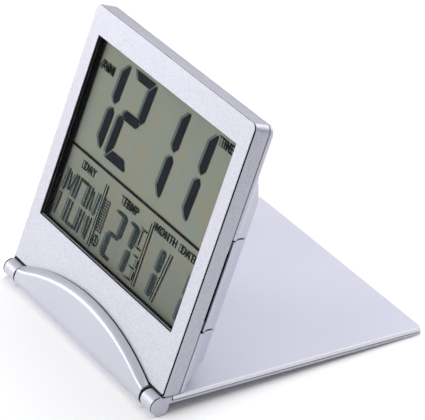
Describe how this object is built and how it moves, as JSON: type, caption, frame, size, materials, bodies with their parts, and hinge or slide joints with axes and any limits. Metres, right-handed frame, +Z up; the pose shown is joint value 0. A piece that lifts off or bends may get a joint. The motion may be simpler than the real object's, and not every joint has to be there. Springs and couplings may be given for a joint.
{
  "type": "folding travel alarm clock",
  "caption": "Folding travel alarm clock: LCD clock case hinged to a flat metal cover that opens behind it as a stand and closes over the display.",
  "frame": {"origin": "centre of the bounding box footprint, on the surface the open clock stands on", "axes": "+X along the hinge to the right as seen from the front, -Y out of the display towards the viewer, +Y along the opened cover, +Z up"},
  "size_m": [0.085, 0.0786, 0.0725],
  "materials": {
    "face_paint": "silver metallic paint, satin",
    "case_paint": "silver metallic paint, satin",
    "fascia_paint": "silver metallic paint, semi-gloss",
    "cover_aluminium": "satin anodised sheet",
    "clear_lens": "clear polished",
    "lcd_glass": "greenish grey liquid crystal panel",
    "reflector": "satin film",
    "black_plastic": "matt black",
    "black_rubber": "matt black",
    "button_plastic": "fine matt grey",
    "board": "green solder mask",
    "steel": "bright zinc plated",
    "brass": "bright",
    "adhesive": "matt black tape"
  },
  "bodies": {
    "clock_body": {"face_panel": "face_paint", "front_case": "case_paint", "rear_case": "case_paint", "hinge_fascia": "fascia_paint", "display_lens": "clear_lens", "display_holder": "black_plastic", "lcd_panel": "lcd_glass", "lcd_reflector": "reflector", "lcd_connector_strip": "black_rubber", "circuit_board": "board", "controller_chip": "black_plastic", "quartz_crystal": "steel", "temperature_sensor": "black_plastic", "buzzer_disc": "brass", "keypad_mat": "black_rubber", "battery_contact_positive": "brass", "battery_contact_negative": "brass", "hinge_washer_left": "black_rubber", "hinge_washer_right": "black_rubber", "case_screw_1": "steel", "case_screw_2": "steel", "case_screw_3": "steel", "case_screw_4": "steel", "board_screw_1": "steel", "board_screw_2": "steel", "board_screw_3": "steel"},
    "cover": {"cover_frame": "fascia_paint", "cover_sheet": "cover_aluminium", "cover_adhesive": "adhesive", "hinge_pin_left": "steel", "hinge_pin_right": "steel"},
    "battery_tray": {"battery_tray": "case_paint", "coin_cell": "steel"},
    "button_mode": {"button_mode": "button_plastic"},
    "button_set": {"button_set": "button_plastic"},
    "button_up": {"button_up": "button_plastic"},
    "button_down": {"button_down": "button_plastic"},
    "button_alarm": {"button_alarm": "button_plastic"}
  },
  "joints": [
    {"name": "cover_hinge", "type": "hinge", "parent": "clock_body", "child": "cover", "pos_m": [0, -0.0368, 0.0025], "axis": [-1, 0, 0], "range_deg": [0, 291.25]},
    {"name": "battery_tray_slide", "type": "slide", "parent": "clock_body", "child": "battery_tray", "axis": [1, 0, 0], "range_m": [0, 0.022]},
    {"name": "button_mode_press", "type": "slide", "parent": "clock_body", "child": "button_mode", "axis": [0, -0.9176, 0.3976], "range_m": [0, 0.0006], "stiffness_N_per_m": 300},
    {"name": "button_set_press", "type": "slide", "parent": "clock_body", "child": "button_set", "axis": [0, -0.9176, 0.3976], "range_m": [0, 0.0006], "stiffness_N_per_m": 300},
    {"name": "button_up_press", "type": "slide", "parent": "clock_body", "child": "button_up", "axis": [0, -0.9176, 0.3976], "range_m": [0, 0.0006], "stiffness_N_per_m": 300},
    {"name": "button_down_press", "type": "slide", "parent": "clock_body", "child": "button_down", "axis": [0, -0.9176, 0.3976], "range_m": [0, 0.0006], "stiffness_N_per_m": 300},
    {"name": "button_alarm_press", "type": "slide", "parent": "clock_body", "child": "button_alarm", "axis": [0, -0.9176, 0.3976], "range_m": [0, 0.0006], "stiffness_N_per_m": 300}
  ]
}
